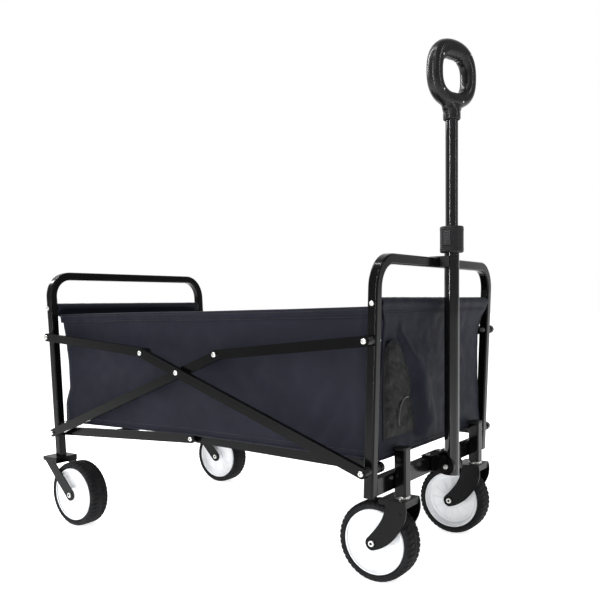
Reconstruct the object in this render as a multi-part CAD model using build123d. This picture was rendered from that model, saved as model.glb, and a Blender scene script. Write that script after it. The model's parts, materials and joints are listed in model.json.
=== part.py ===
from build123d import *
import math
import os

# Folding camp wagon, millimetres, +Z up, +X towards the pulling handle, wheels on z = 0.
# The origin is the bottom centre of the whole wagon's box. Bars are named for the leg
# pivot that they turn about.

# ---- driving dimensions ---------------------------------------------------------------
MID_X = -18.58              # middle of the two lower leg pivots
HALF_SPAN = 409.0           # from MID_X to a lower leg pivot
LEG_Y = 240.0               # centre of a leg, either side of the middle
LEAN = math.radians(2.0)    # each hoop leans outwards
TUBE = 18.0                 # square tube of the hoops
WALL = 1.2
TUBE_CORNER = 3.2
HOOP_TOP = 559.0            # centre of a hoop's top bar
HOOP_BEND = 48.0            # centreline radius of a hoop's corners
REAR_LEG_END = 150.0
FRONT_LEG_END = 167.0

REAR_PIVOT_Z = 204.0        # lower leg pivots
FRONT_PIVOT_Z = 213.0
REAR_RISE = 217.0           # from a lower to an upper leg pivot, along the leg
FRONT_RISE = 213.5
CROSS_Z = 359.0             # where the two long bars of a side cross
ARM_X = 99.0                # upper end of a long bar, forward or back of MID_X
HINGE_X = MID_X - 6.0       # fold line of the floor
HINGE_Z = 224.0

BAR_W = 18.0                # flat bars of the scissor and the floor
BAR_T = 10.0
BAR_WALL = 1.3
INNER_Y = 250.0             # inner face of the inner scissor plane
OUTER_Y = 261.0             # inner face of the outer scissor plane
REAR_FLOOR_Y = 220.0        # inner face of the rear floor bars
FRONT_FLOOR_Y = 209.0       # inner face of the front floor bars
FLOOR_TUBE_R = 6.0

PIN_R = 3.0
PIN_FIT = 0.05              # running clearance on the radius
HEAD_R = 4.8
HEAD_H = 3.6
FACE_GAP = 0.5

WHEEL_R = 71.5
RIM_R = 58.0                # tyre meets the white disc
TYRE_HALF = 22.0
DISH_Y = 12.5               # faces of the disc's web, either side of the middle
AXLE_R = 4.0
FORK_IN = 25.5              # inner face of a fork arm, from the wheel's middle
FORK_T = 2.6
FORK_EYE_R = 13.0
REAR_AXLE_AHEAD = 63.0      # rear axle ahead of the leg
TRAIL = 46.0                # caster axle behind its swivel
CASTER_Y = 163.0
CASTER_AHEAD = 18.0         # swivel ahead of the front leg
PLATE_Z = 152.0             # top of a caster's fork plate
PLATE_T = 3.0
STEM = 22.0
STEM_FOOT = 157.0
STEM_TOP = 236.0
KINGPIN_R = 5.0

BEAM_BOTTOM = 169.0         # front beam between the legs
BEAM_TOP = 197.0

HANDLE_X = MID_X + 446.0
HANDLE_PIVOT_X = HANDLE_X - 3.0
HANDLE_PIVOT_Z = 181.0
LOWER_TUBE = 27.4           # round tubes of the handle
UPPER_TUBE = 23.0
LOWER_FOOT = 163.0
LOWER_HEAD = 586.0
COLLAR = (577.0, 625.0)
UPPER_FOOT = 385.0
NECK_FOOT = 816.0
GRIP_TOP = 957.0
GRIP_HALF = 60.0
GRIP_T = 29.0
GRIP_WEB = 28.0             # thickness of the ring across the hole
GRIP_WIDER = 1.0            # the ring is this much wider than high
GRIP_TURN = math.radians(16.0)
NECK_R = 15.5
BUTTON_Z = 603.0
COLLAR_R = 21.5
BUTTON = (14.0, 28.0)       # width and height of the push button
BUTTON_IN = 14.5            # wall behind the button, from the tube's middle
GRIP_BEND = 40.0            # corner radius of the ring's middle line
EAR_IN = 17.5               # inner face of a bracket ear
EAR_T = 3.0
EAR_R = 16.0

PANEL_T = 2.0               # coated fabric of the basket, as plain sheets
SIDE_Y = 233.5
SIDE_TOP_REAR = 470.0
SIDE_TOP_FRONT = 480.0
REAR_PANEL_TOP = 497.0
FRONT_PANEL_TOP = 496.0
PANEL_FOOT = 226.0
REAR_FLOOR_LIFT = 21.0      # fabric floor above the middle of the floor bars, at its ends
FRONT_FLOOR_LIFT = 14.5
PANEL_HALF = 205.0
PANEL_OUT = 3.5             # end panels lie outside the leg's middle
HEM_R = 7.0
RIVET_Z = 486.0
RIVET_SET_BACK = 4.0        # the rear links pass ahead of the rear rivets when folded

SIDES = {"left": -1, "right": 1}

rear_pivot = (MID_X - HALF_SPAN, REAR_PIVOT_Z)
front_pivot = (MID_X + HALF_SPAN, FRONT_PIVOT_Z)
cross = (MID_X, CROSS_Z)
hinge = (HINGE_X, HINGE_Z)

parts = {}


# ---- geometry helpers -----------------------------------------------------------------
def along(p, q, x):
    """Point at x on the line through p and q, in the X-Z plane."""
    return (x, p[1] + (q[1] - p[1]) * (x - p[0]) / (q[0] - p[0]))


def leg_x(end, z):
    """Centre of a leg at height z; end is -1 at the rear and +1 at the front."""
    foot = REAR_PIVOT_Z if end < 0 else FRONT_PIVOT_Z
    return MID_X + end * (HALF_SPAN + (z - foot) * math.tan(LEAN))


def block(x, y, z):
    """Box between pairs of limits."""
    size = (x[1] - x[0], y[1] - y[0], z[1] - z[0])
    centre = ((x[0] + x[1]) / 2, (y[0] + y[1]) / 2, (z[0] + z[1]) / 2)
    return Pos(*centre) * Box(*size)


def rod_y(x, z, y0, y1, r):
    """Cylinder along Y between y0 and y1."""
    low = min(y0, y1)
    length = abs(y1 - y0)
    return Pos(x, low + length / 2, z) * Rot(90, 0, 0) * Cylinder(r, length)


def rod_z(x, y, z0, z1, r):
    return Pos(x, y, (z0 + z1) / 2) * Cylinder(r, z1 - z0)


def slot_profile(p, q, width, y):
    """Flat outline round two points in the plane Y = y, with round ends."""
    length = math.dist(p, q)
    turn = math.degrees(math.atan2(q[1] - p[1], q[0] - p[0]))
    mid = ((p[0] + q[0]) / 2, (p[1] + q[1]) / 2)
    plane = Plane(origin=(mid[0], y, mid[1]), x_dir=(1, 0, 0), z_dir=(0, -1, 0))
    return plane * Rot(0, 0, turn) * SlotCenterToCenter(length, width)


def flat_bar(p, q, y0, y1, holes):
    """Hollow bar of rounded ends between two pivots, with pin holes along Y."""
    low, high = sorted((y0, y1))
    outer = extrude(slot_profile(p, q, BAR_W, high), high - low, dir=(0, -1, 0))
    inset = BAR_W / 2 + 4.0
    reach = math.dist(p, q)
    unit = ((q[0] - p[0]) / reach, (q[1] - p[1]) / reach)
    a = (p[0] + unit[0] * inset, p[1] + unit[1] * inset)
    b = (q[0] - unit[0] * inset, q[1] - unit[1] * inset)
    core = extrude(
        slot_profile(a, b, BAR_W - 2 * BAR_WALL, high - BAR_WALL),
        high - low - 2 * BAR_WALL,
        dir=(0, -1, 0),
    )
    bar = outer - core
    for hole in holes:
        bar -= rod_y(hole[0], hole[1], low - 1, high + 1, PIN_R + PIN_FIT)
    return bar


def bolt(x, z, side, y_in, y_out, y_nut=None):
    """Zinc bolt along Y with a domed head outside; a nut inside when y_nut is given."""
    body = rod_y(x, z, side * y_in, side * (y_out + FACE_GAP), PIN_R)
    face = side * (y_out + FACE_GAP)
    head = rod_y(x, z, face, face + side * HEAD_H, HEAD_R)
    rim = head.edges().sort_by(Axis.Y)[-1 if side > 0 else 0]
    head = fillet(rim, 1.8)
    socket = rod_y(x, z, face + side * (HEAD_H - 2.2), face + side * (HEAD_H + 1), 2.4)
    made = body + (head - socket)
    if y_nut is not None:
        made += rod_y(x, z, side * y_nut, side * (y_in + 0.2), HEAD_R)
    return made


def rounded_square(size, corner):
    return RectangleRounded(size, size, corner)


def square_tube_z(x, y, z0, z1, size, wall, corner):
    """Upright square tube."""
    outer = extrude(rounded_square(size, corner), z1 - z0)
    inner = extrude(rounded_square(size - 2 * wall, max(corner - wall, 0.8)), z1 - z0)
    return Pos(x, y, z0) * (outer - inner)


def frame_plane(end):
    """Plane of a hoop: its X runs across the wagon and its Y up the legs."""
    foot = REAR_PIVOT_Z if end < 0 else FRONT_PIVOT_Z
    normal = (math.cos(LEAN) * end, 0, -math.sin(LEAN))
    return Plane(origin=(MID_X + end * HALF_SPAN, 0, foot), x_dir=(0, end, 0), z_dir=normal)


def hoop(end, foot_z):
    """Bent square tube: leg, top bar and leg."""
    plane = frame_plane(end)
    base = (foot_z - plane.origin.Z) / math.cos(LEAN)
    top = (HOOP_TOP - plane.origin.Z) / math.cos(LEAN)
    path = FilletPolyline(
        (-LEG_Y, base), (-LEG_Y, top), (LEG_Y, top), (LEG_Y, base), radius=HOOP_BEND
    )
    path = plane * path
    start = plane.from_local_coords((-LEG_Y, base, 0))
    section_plane = Plane(origin=start, x_dir=(0, 1, 0), z_dir=path % 0)
    section = section_plane * (
        rounded_square(TUBE, TUBE_CORNER)
        - rounded_square(TUBE - 2 * WALL, TUBE_CORNER - WALL)
    )
    made = sweep(section, path=path)
    return made


def upper_pivot(end):
    rise = REAR_RISE if end < 0 else FRONT_RISE
    low = rear_pivot if end < 0 else front_pivot
    return (low[0] + end * rise * math.sin(LEAN), low[1] + rise * math.cos(LEAN))


rear_upper = upper_pivot(-1)
front_upper = upper_pivot(1)
rear_arm_end = along(rear_pivot, cross, MID_X + ARM_X)
front_arm_end = along(front_pivot, cross, MID_X - ARM_X)


# ---- hoops and what is fixed to them --------------------------------------------------
def leg_bores(frame, points):
    for x, z in points:
        frame -= rod_y(x, z, -LEG_Y - TUBE, LEG_Y + TUBE, PIN_R + PIN_FIT)
    return frame


def make_hoops():
    parts["rear_hoop"] = leg_bores(hoop(-1, REAR_LEG_END), (rear_pivot, rear_upper))
    parts["front_hoop"] = leg_bores(hoop(1, FRONT_LEG_END), (front_pivot, front_upper))


def hem_tube(end, top):
    """Round tube between the legs that carries an end panel's top hem."""
    z = top - HEM_R - 3.0
    reach = LEG_Y - TUBE / 2
    tube = rod_y(leg_x(end, z), z, -reach, reach, HEM_R)
    return tube - rod_y(leg_x(end, z), z, -reach, reach, HEM_R - 1.2)


def leg_hardware(end):
    """Pivot bolts and spacers of one hoop, both sides."""
    low = rear_pivot if end < 0 else front_pivot
    high = rear_upper if end < 0 else front_upper
    bar_face = INNER_Y if end < 0 else OUTER_Y
    floor_face = REAR_FLOOR_Y if end < 0 else FRONT_FLOOR_Y
    bolts = []
    spacers = []
    for side in SIDES.values():
        bolts.append(bolt(*low, side, floor_face - 0.5, bar_face + BAR_T, floor_face - 6.5))
        bolts.append(bolt(*high, side, LEG_Y - TUBE / 2 - 0.5, bar_face + BAR_T,
                          LEG_Y - TUBE / 2 - 6.0))
        if end > 0:
            for x, z in (low, high):
                ring = rod_y(x, z, side * (LEG_Y + TUBE / 2), side * (OUTER_Y - 0.4), 7.5)
                spacers.append(ring - rod_y(x, z, side * LEG_Y, side * (OUTER_Y + 2), PIN_R + PIN_FIT))
            ring = rod_y(*low, side * (FRONT_FLOOR_Y + BAR_T + 0.4),
                         side * (LEG_Y - TUBE / 2), 7.5)
            spacers.append(ring - rod_y(*low, side * FRONT_FLOOR_Y, side * LEG_Y, PIN_R + PIN_FIT))
    return bolts, spacers


def panel_rivets(end, z):
    """Rivets through the legs that hold the corners of the basket."""
    made = []
    x = leg_x(end, z) - (RIVET_SET_BACK if end < 0 else 0.0)
    for side in SIDES.values():
        face = side * (LEG_Y + TUBE / 2)
        head = rod_y(x, z, face, face + side * 2.4, 4.2)
        rim = head.edges().sort_by(Axis.Y)[-1 if side > 0 else 0]
        made.append(fillet(rim, 1.6))
    return made


def end_panel(end, top):
    """Fabric end wall as a leaning sheet outside the leg's middle."""
    low_x = leg_x(end, PANEL_FOOT) + end * PANEL_OUT
    high_x = leg_x(end, top) + end * PANEL_OUT
    outline = [
        (low_x, PANEL_FOOT),
        (low_x + end * PANEL_T, PANEL_FOOT),
        (high_x + end * PANEL_T, top - 2 * HEM_R - 8.0),
        (high_x, top - 2 * HEM_R - 8.0),
    ]
    face = Plane.XZ * make_face(Polyline(*outline, close=True))
    return Pos(0, PANEL_HALF, 0) * extrude(face, 2 * PANEL_HALF)


def hem_sleeve(end, top):
    """Fabric sleeve round the hem tube."""
    z = top - HEM_R - 3.0
    x = leg_x(end, z)
    sleeve = rod_y(x, z, -PANEL_HALF, PANEL_HALF, HEM_R + 2.4)
    return sleeve - rod_y(x, z, -PANEL_HALF, PANEL_HALF, HEM_R + 0.3)


# ---- wheels and forks -----------------------------------------------------------------
def make_wheel(name, x, y):
    z = WHEEL_R
    outline = [
        (RIM_R, -TYRE_HALF + 3.0),
        (RIM_R + 3.0, -TYRE_HALF),
        (WHEEL_R - 4.0, -TYRE_HALF),
        (WHEEL_R, -TYRE_HALF + 5.0),
        (WHEEL_R, TYRE_HALF - 5.0),
        (WHEEL_R - 4.0, TYRE_HALF),
        (RIM_R + 3.0, TYRE_HALF),
        (RIM_R, TYRE_HALF - 3.0),
    ]
    tread = revolve(make_face(Polyline(*outline, close=True)), Axis.Y)
    parts[f"tyre_{name}"] = Pos(x, y, z) * tread
    gap = 0.1
    disc_half = TYRE_HALF - 4.0
    rim = [
        (AXLE_R + PIN_FIT, -FORK_IN + 0.8),
        (13.0, -FORK_IN + 0.8),
        (15.0, -DISH_Y),
        (49.0, -DISH_Y),
        (53.0, -disc_half),
        (RIM_R - gap, -disc_half),
        (RIM_R - gap, disc_half),
        (53.0, disc_half),
        (49.0, DISH_Y),
        (15.0, DISH_Y),
        (13.0, FORK_IN - 0.8),
        (AXLE_R + PIN_FIT, FORK_IN - 0.8),
    ]
    web = [
        (17.0, -DISH_Y + 3.0),
        (48.0, -DISH_Y + 3.0),
        (54.5, -disc_half + 3.0),
        (54.5, disc_half - 3.0),
        (48.0, DISH_Y - 3.0),
        (17.0, DISH_Y - 3.0),
    ]
    disc = revolve(make_face(Polyline(*rim, close=True)), Axis.Y)
    disc -= revolve(make_face(Polyline(*web, close=True)), Axis.Y)
    parts[f"wheel_disc_{name}"] = Pos(x, y, z) * disc


def axle(x, y):
    """Axle bolt with domed heads outside both fork arms."""
    reach = FORK_IN + FORK_T
    pin = rod_y(x, WHEEL_R, y - reach - 0.3, y + reach + 0.3, AXLE_R)
    for way in (-1, 1):
        face = y + way * (reach + 0.2)
        head = rod_y(x, WHEEL_R, face, face + way * 3.2, 5.6)
        rim = head.edges().sort_by(Axis.Y)[-1 if way > 0 else 0]
        pin += fillet(rim, 1.4)
    return pin


def arm_outline(top_rear, top_front, top_z, axle_x):
    """Fork arm that narrows to a round eye at the axle."""
    eye = Pos(axle_x, WHEEL_R) * Circle(FORK_EYE_R)
    mid_x = (top_rear + top_front) / 2
    slope = math.atan2(mid_x - axle_x, top_z - WHEEL_R)
    dx = FORK_EYE_R * math.cos(slope)
    dz = FORK_EYE_R * math.sin(slope)
    web = make_face(Polyline(
        (top_rear, top_z),
        (top_front, top_z),
        (axle_x + dx, WHEEL_R - dz),
        (axle_x - dx, WHEEL_R + dz),
        close=True,
    ))
    return eye + web


def caster_arm(swivel_x, top_z, axle_x):
    """Caster arm with curved edges that sweeps back to its eye."""
    rear = Spline(
        (swivel_x - 20.0, top_z),
        (swivel_x - 22.0, top_z - 24.0),
        (swivel_x - 32.0, WHEEL_R + 36.0),
        (axle_x - 10.5, WHEEL_R + 7.0),
    )
    front = Spline(
        (axle_x + 6.5, WHEEL_R - 11.0),
        (axle_x + 35.0, WHEEL_R + 6.0),
        (swivel_x + 8.0, WHEEL_R + 29.0),
        (swivel_x + 17.0, WHEEL_R + 46.0),
        (swivel_x + 18.0, top_z),
    )
    across = Line(rear @ 1, front @ 0)
    top = Line(front @ 1, rear @ 0)
    web = make_face(Wire([rear, across, front, top]))
    return Pos(axle_x, WHEEL_R) * Circle(FORK_EYE_R - 0.5) + web


def fork(x_rear, x_front, y, plate_top, axle_x, outline, skirt):
    """Pressed steel fork: top plate, two arms and a bent front skirt."""
    reach = FORK_IN + FORK_T
    plate = block((x_rear, x_front), (y - reach, y + reach), (plate_top - PLATE_T, plate_top))
    made = plate
    for way in (-1, 1):
        outer = y + way * reach
        low = min(outer, outer - way * FORK_T)
        face = Plane(origin=(0, low + FORK_T, 0), x_dir=(1, 0, 0), z_dir=(0, -1, 0)) * outline
        made += extrude(face, FORK_T, dir=(0, -1, 0))
        made += block((x_rear, x_front), (low, low + FORK_T), (plate_top - 9.0, plate_top))
    made += block((x_front - PLATE_T, x_front), (y - reach, y + reach),
                  (plate_top - skirt, plate_top))
    made -= rod_y(axle_x, WHEEL_R, y - 40, y + 40, AXLE_R + PIN_FIT)
    return made


def make_rear_wheels():
    forks = []
    axles = []
    leg = leg_x(-1, REAR_LEG_END)
    axle_x = leg + REAR_AXLE_AHEAD
    for name, side in SIDES.items():
        y = side * LEG_Y
        arm = arm_outline(leg - 29.0, leg + 2.0, REAR_LEG_END - 0.9, axle_x)
        forks.append(fork(leg - 29.0, leg + 19.0, y, REAR_LEG_END - 0.4, axle_x, arm, 13.0))
        axles.append(axle(axle_x, y))
        make_wheel(f"rear_{name}", axle_x, y)
    parts["rear_forks"] = Compound(forks)
    parts["rear_axles"] = Compound(axles)


def make_casters():
    swivel_x = MID_X + HALF_SPAN + CASTER_AHEAD
    axle_x = swivel_x - TRAIL
    stems = []
    caps = []
    for name, side in SIDES.items():
        y = side * CASTER_Y
        stem = square_tube_z(swivel_x, y, STEM_FOOT, STEM_TOP, STEM, 1.6, 3.0)
        plug = Pos(swivel_x, y, STEM_FOOT) * extrude(rounded_square(STEM - 3.0, 1.5), 30.0)
        bore = rod_z(swivel_x, y, STEM_FOOT - 1, STEM_FOOT + 40, KINGPIN_R + PIN_FIT)
        stems.append(stem + plug - bore)
        cap = Pos(swivel_x, y, STEM_TOP) * extrude(rounded_square(STEM + 1.0, 3.5), 5.0)
        caps.append(fillet(cap.edges().group_by(Axis.Z)[-1], 2.0))
        arm = caster_arm(swivel_x, PLATE_Z - 0.5, axle_x)
        made = fork(swivel_x - 32.0, swivel_x + 18.0, y, PLATE_Z, axle_x, arm, 12.0)
        for way in (-1, 1):
            face = y + way * (FORK_IN + FORK_T)
            made += rod_y(swivel_x + 8.0, PLATE_Z - 22.0, face - way, face + way * 1.2, 2.2)
        parts[f"caster_fork_{name}"] = made
        cup = rod_z(swivel_x, y, PLATE_Z, STEM_FOOT - 0.5, 13.5)
        cup = chamfer(cup.edges().group_by(Axis.Z)[-1], 1.6)
        cup += rod_z(swivel_x, y, PLATE_Z, STEM_FOOT + 26, KINGPIN_R)
        parts[f"caster_kingpin_{name}"] = cup
        parts[f"caster_axle_{name}"] = axle(axle_x, y)
        make_wheel(f"front_{name}", axle_x, y)
    parts["caster_stems"] = Compound(stems)
    parts["stem_caps"] = Compound(caps)


# ---- scissor sides --------------------------------------------------------------------
def make_scissor():
    for name, side in SIDES.items():
        inner = (side * INNER_Y, side * (INNER_Y + BAR_T))
        outer = (side * OUTER_Y, side * (OUTER_Y + BAR_T))
        parts[f"long_bar_rear_{name}"] = flat_bar(
            rear_pivot, rear_arm_end, *inner, (rear_pivot, cross))
        parts[f"long_bar_front_{name}"] = flat_bar(
            front_pivot, front_arm_end, *outer, (front_pivot, cross, front_arm_end))
        parts[f"link_rear_{name}"] = flat_bar(
            rear_upper, front_arm_end, *inner, (rear_upper,))
        parts[f"link_front_{name}"] = flat_bar(
            front_upper, rear_arm_end, *outer, (front_upper, rear_arm_end))
        bar_out = OUTER_Y + BAR_T
        parts[f"cross_bolts_{name}"] = Compound([
            bolt(*cross, side, INNER_Y - 0.5, bar_out),
            bolt(*front_arm_end, side, OUTER_Y, bar_out),
        ])
        parts[f"link_bolt_{name}"] = bolt(*rear_arm_end, side, OUTER_Y, bar_out)


# ---- floor ----------------------------------------------------------------------------
def floor_half(pivot, y_in, cross_gaps):
    """Two floor bars joined by cross tubes at distances back from the fold line."""
    reach = math.dist(pivot, hinge)
    unit = ((pivot[0] - hinge[0]) / reach, (pivot[1] - hinge[1]) / reach)
    frame = None
    for side in SIDES.values():
        bar = flat_bar(pivot, hinge, side * y_in, side * (y_in + BAR_T), (pivot, hinge))
        frame = bar if frame is None else frame + bar
    for gap in cross_gaps:
        x = hinge[0] + unit[0] * gap
        z = hinge[1] + unit[1] * gap
        frame += rod_y(x, z, -y_in - 1.0, y_in + 1.0, FLOOR_TUBE_R)
    return frame


def make_floor():
    parts["floor_frame_rear"] = floor_half(rear_pivot, REAR_FLOOR_Y, (80.0, 250.0))
    parts["floor_frame_front"] = floor_half(front_pivot, FRONT_FLOOR_Y, (22.0, 250.0))
    pins = []
    for side in SIDES.values():
        pins.append(bolt(*hinge, side, FRONT_FLOOR_Y + BAR_T + 0.3,
                         REAR_FLOOR_Y + BAR_T - FACE_GAP))
    parts["floor_hinge_pins"] = Compound(pins)


# ---- handle ---------------------------------------------------------------------------
def make_bracket():
    """Saddle on the beam with two round ears that carry the handle; gives its rivets."""
    beam_face = leg_x(1, BEAM_TOP) + TUBE / 2
    plate = block((beam_face - TUBE - 1, beam_face + 4), (-32, 32), (BEAM_TOP + 0.2, BEAM_TOP + 3.2))
    back = block((beam_face + 0.8, beam_face + 4), (-32, 32), (BEAM_BOTTOM + 2, BEAM_TOP + 3.2))
    made = plate + back
    for way in (-1, 1):
        low = min(way * EAR_IN, way * (EAR_IN + EAR_T))
        ear = rod_y(HANDLE_PIVOT_X, HANDLE_PIVOT_Z, low, low + EAR_T, EAR_R)
        ear += block((beam_face + 1, HANDLE_PIVOT_X), (low, low + EAR_T),
                     (HANDLE_PIVOT_Z - 11.0, BEAM_TOP + 3.2))
        made += ear
    made -= rod_y(HANDLE_PIVOT_X, HANDLE_PIVOT_Z, -30, 30, PIN_R + PIN_FIT)
    rivets = []
    for y in (-24.0, 24.0):
        head = rod_z(beam_face - TUBE / 2, y, BEAM_TOP + 3.2, BEAM_TOP + 5.6, 4.5)
        rivets.append(fillet(head.edges().group_by(Axis.Z)[-1], 1.4))
    parts["handle_bracket"] = made
    out = EAR_IN + EAR_T
    pin = rod_y(HANDLE_PIVOT_X, HANDLE_PIVOT_Z, -out - 0.4, out + 0.4, PIN_R)
    for way in (-1, 1):
        face = way * (out + 0.3)
        head = rod_y(HANDLE_PIVOT_X, HANDLE_PIVOT_Z, face, face + way * HEAD_H, HEAD_R)
        rim = head.edges().sort_by(Axis.Y)[-1 if way > 0 else 0]
        pin += fillet(rim, 1.6)
    parts["handle_pivot_bolt"] = pin
    return rivets


def round_tube_z(x, z0, z1, size, wall):
    return rod_z(x, 0, z0, z1, size / 2) - rod_z(x, 0, z0, z1, size / 2 - wall)


def make_handle():
    pivot = (HANDLE_PIVOT_X, HANDLE_PIVOT_Z)
    pin_hole = rod_y(*pivot, -EAR_IN, EAR_IN, PIN_R + PIN_FIT)
    lower = round_tube_z(HANDLE_X, LOWER_FOOT, LOWER_HEAD, LOWER_TUBE, 1.3)
    parts["handle_lower_tube"] = lower - pin_hole
    foot = rod_y(*pivot, -EAR_IN + 0.5, EAR_IN - 0.5, EAR_R - 1.0)
    foot -= rod_z(HANDLE_X, 0, LOWER_FOOT - 0.1, LOWER_HEAD, LOWER_TUBE / 2 + 0.05)
    parts["handle_foot"] = foot - pin_hole
    parts["handle_upper_tube"] = round_tube_z(
        HANDLE_X, UPPER_FOOT, NECK_FOOT + 14.0, UPPER_TUBE, 1.3)
    collar = rod_z(HANDLE_X, 0, *COLLAR, COLLAR_R)
    rims = collar.edges().group_by(Axis.Z)[-1] + collar.edges().group_by(Axis.Z)[0]
    collar = fillet(rims, 2.5)
    collar -= rod_z(HANDLE_X, 0, COLLAR[0] - 1, LOWER_HEAD, LOWER_TUBE / 2 + 0.05)
    collar -= rod_z(HANDLE_X, 0, COLLAR[0], COLLAR[1] + 1, UPPER_TUBE / 2 + 0.3)
    low_z = BUTTON_Z - BUTTON[1] / 2
    high_z = BUTTON_Z + BUTTON[1] / 2
    slot_half = BUTTON[0] / 2 + 0.3
    collar -= block((HANDLE_X - slot_half, HANDLE_X + slot_half), (-COLLAR_R - 1, -BUTTON_IN + 1.5),
                    (low_z - 0.3, high_z + 0.3))
    parts["lock_collar"] = collar
    button = block((HANDLE_X - BUTTON[0] / 2, HANDLE_X + BUTTON[0] / 2),
                   (-COLLAR_R - 1.0, -BUTTON_IN - 2.0), (low_z, high_z))
    button = fillet(button.faces().sort_by(Axis.Y)[0].edges(), 1.5)
    parts["lock_button"] = button


def make_grip():
    """Ring grip on a moulded neck, turned a little about the round tube."""
    centre_z = GRIP_TOP - GRIP_HALF
    middle = GRIP_HALF - GRIP_WEB / 2
    across = (math.sin(GRIP_TURN), math.cos(GRIP_TURN), 0)
    normal = (math.cos(GRIP_TURN), -math.sin(GRIP_TURN), 0)
    ring_plane = Plane(origin=(HANDLE_X, 0, centre_z), x_dir=across, z_dir=normal)
    path = ring_plane * RectangleRounded(2 * middle + GRIP_WIDER, 2 * middle, GRIP_BEND).wire()
    start = path @ 0
    section = Plane(origin=start, x_dir=normal, z_dir=path % 0)
    ring = sweep(section * Ellipse(GRIP_T / 2, GRIP_WEB / 2), path=path)
    neck = rod_z(HANDLE_X, 0, NECK_FOOT, centre_z - middle + 4.0, NECK_R)
    neck = fillet(neck.edges().group_by(Axis.Z)[0], 1.5)
    socket = rod_z(HANDLE_X, 0, NECK_FOOT - 1, NECK_FOOT + 14.3, UPPER_TUBE / 2 + 0.05)
    parts["grip"] = ring + neck - socket


def make_clip():
    """Open spring clip on the front hoop that steadies the upright handle."""
    z = HOOP_TOP
    face = leg_x(1, z) + TUBE / 2
    half = LOWER_TUBE / 2 + 1.0
    base = block((face - TUBE - 3.2, face + 0.9), (-half - 2.6, half + 2.6),
                 (z + TUBE / 2 + 0.4, z + TUBE / 2 + 3.0))
    jaws = block((face + 0.3, face + 18.0), (-half - 2.6, half + 2.6), (z - 8.0, z + TUBE / 2 + 3.0))
    jaws -= block((face + 0.2, face + 19.0), (-half, half), (z - 9.0, z + TUBE))
    parts["handle_clip"] = base + jaws


# ---- fabric, as plain sheets ----------------------------------------------------------
def make_fabric():
    for end, name, top in ((-1, "rear", REAR_PANEL_TOP), (1, "front", FRONT_PANEL_TOP)):
        parts[f"basket_{name}_panel"] = end_panel(end, top)
        parts[f"{name}_hem_sleeve"] = hem_sleeve(end, top)
        parts[f"{name}_hem_tube"] = hem_tube(end, top)
    lift = BAR_W / 2 + 0.6
    rear_lift = REAR_FLOOR_LIFT
    front_lift = FRONT_FLOOR_LIFT
    start = along(rear_pivot, hinge, rear_pivot[0] + 16.0)
    stop = along(front_pivot, hinge, front_pivot[0] - 16.0)
    side_outline = [
        (start[0], start[1] + rear_lift),
        (hinge[0], hinge[1] + lift),
        (stop[0], stop[1] + front_lift),
        (stop[0], SIDE_TOP_FRONT),
        (start[0], SIDE_TOP_REAR),
    ]
    for name, side in SIDES.items():
        face = Plane.XZ * make_face(Polyline(*side_outline, close=True))
        outer = max(side * SIDE_Y, side * (SIDE_Y + PANEL_T))
        parts[f"basket_{name}_side"] = Pos(0, outer, 0) * extrude(face, PANEL_T)
    floor_outline = [
        (start[0], start[1] + rear_lift),
        (hinge[0], hinge[1] + lift),
        (stop[0], stop[1] + front_lift),
        (stop[0], stop[1] + front_lift + 2 * PANEL_T),
        (hinge[0], hinge[1] + lift + 2 * PANEL_T),
        (start[0], start[1] + rear_lift + 2 * PANEL_T),
    ]
    face = Plane.XZ * make_face(Polyline(*floor_outline, close=True))
    parts["basket_floor"] = Pos(0, SIDE_Y - 0.5, 0) * extrude(face, 2 * SIDE_Y - 1.0)


# ---- assembly -------------------------------------------------------------------------
def make_front_beam():
    reach = LEG_Y - TUBE / 2
    x = leg_x(1, (BEAM_BOTTOM + BEAM_TOP) / 2)
    beam = block((x - 7.5, x + 8.0), (-reach, reach), (BEAM_BOTTOM, BEAM_TOP))
    beam -= block((x - 6.0, x + 6.5), (-reach, reach), (BEAM_BOTTOM + 1.5, BEAM_TOP - 1.5))
    parts["front_beam"] = beam
    bolts = []
    for side in SIDES.values():
        spot = Pos(x + 8.0, side * (CASTER_Y + 20.0), BEAM_TOP - 7.0) * Rot(0, 90, 0)
        bolts.append(Pos(1.0, 0, 0) * spot * Cylinder(3.2, 2.0))
    return bolts


def main():
    make_hoops()
    for end, name in ((-1, "rear"), (1, "front")):
        bolts, spacers = leg_hardware(end)
        parts[f"{name}_pivot_bolts"] = Compound(bolts)
        if spacers:
            parts[f"{name}_pivot_spacers"] = Compound(spacers)
    parts["rear_rivets"] = Compound(panel_rivets(-1, RIVET_Z))
    front_rivets = panel_rivets(1, RIVET_Z) + make_front_beam() + make_bracket()
    parts["front_rivets"] = Compound(front_rivets)
    make_rear_wheels()
    make_casters()
    make_scissor()
    make_floor()
    make_handle()
    make_grip()
    make_clip()
    make_fabric()
    os.makedirs("parts", exist_ok=True)
    for name, shape in parts.items():
        export_step(shape, f"parts/{name}.step")
    box = Compound([shape for shape in parts.values()]).bounding_box()
    print(len(parts), "nodes", box.min, box.max, "middle X", (box.min.X + box.max.X) / 2)


main()
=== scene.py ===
import math

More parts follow.
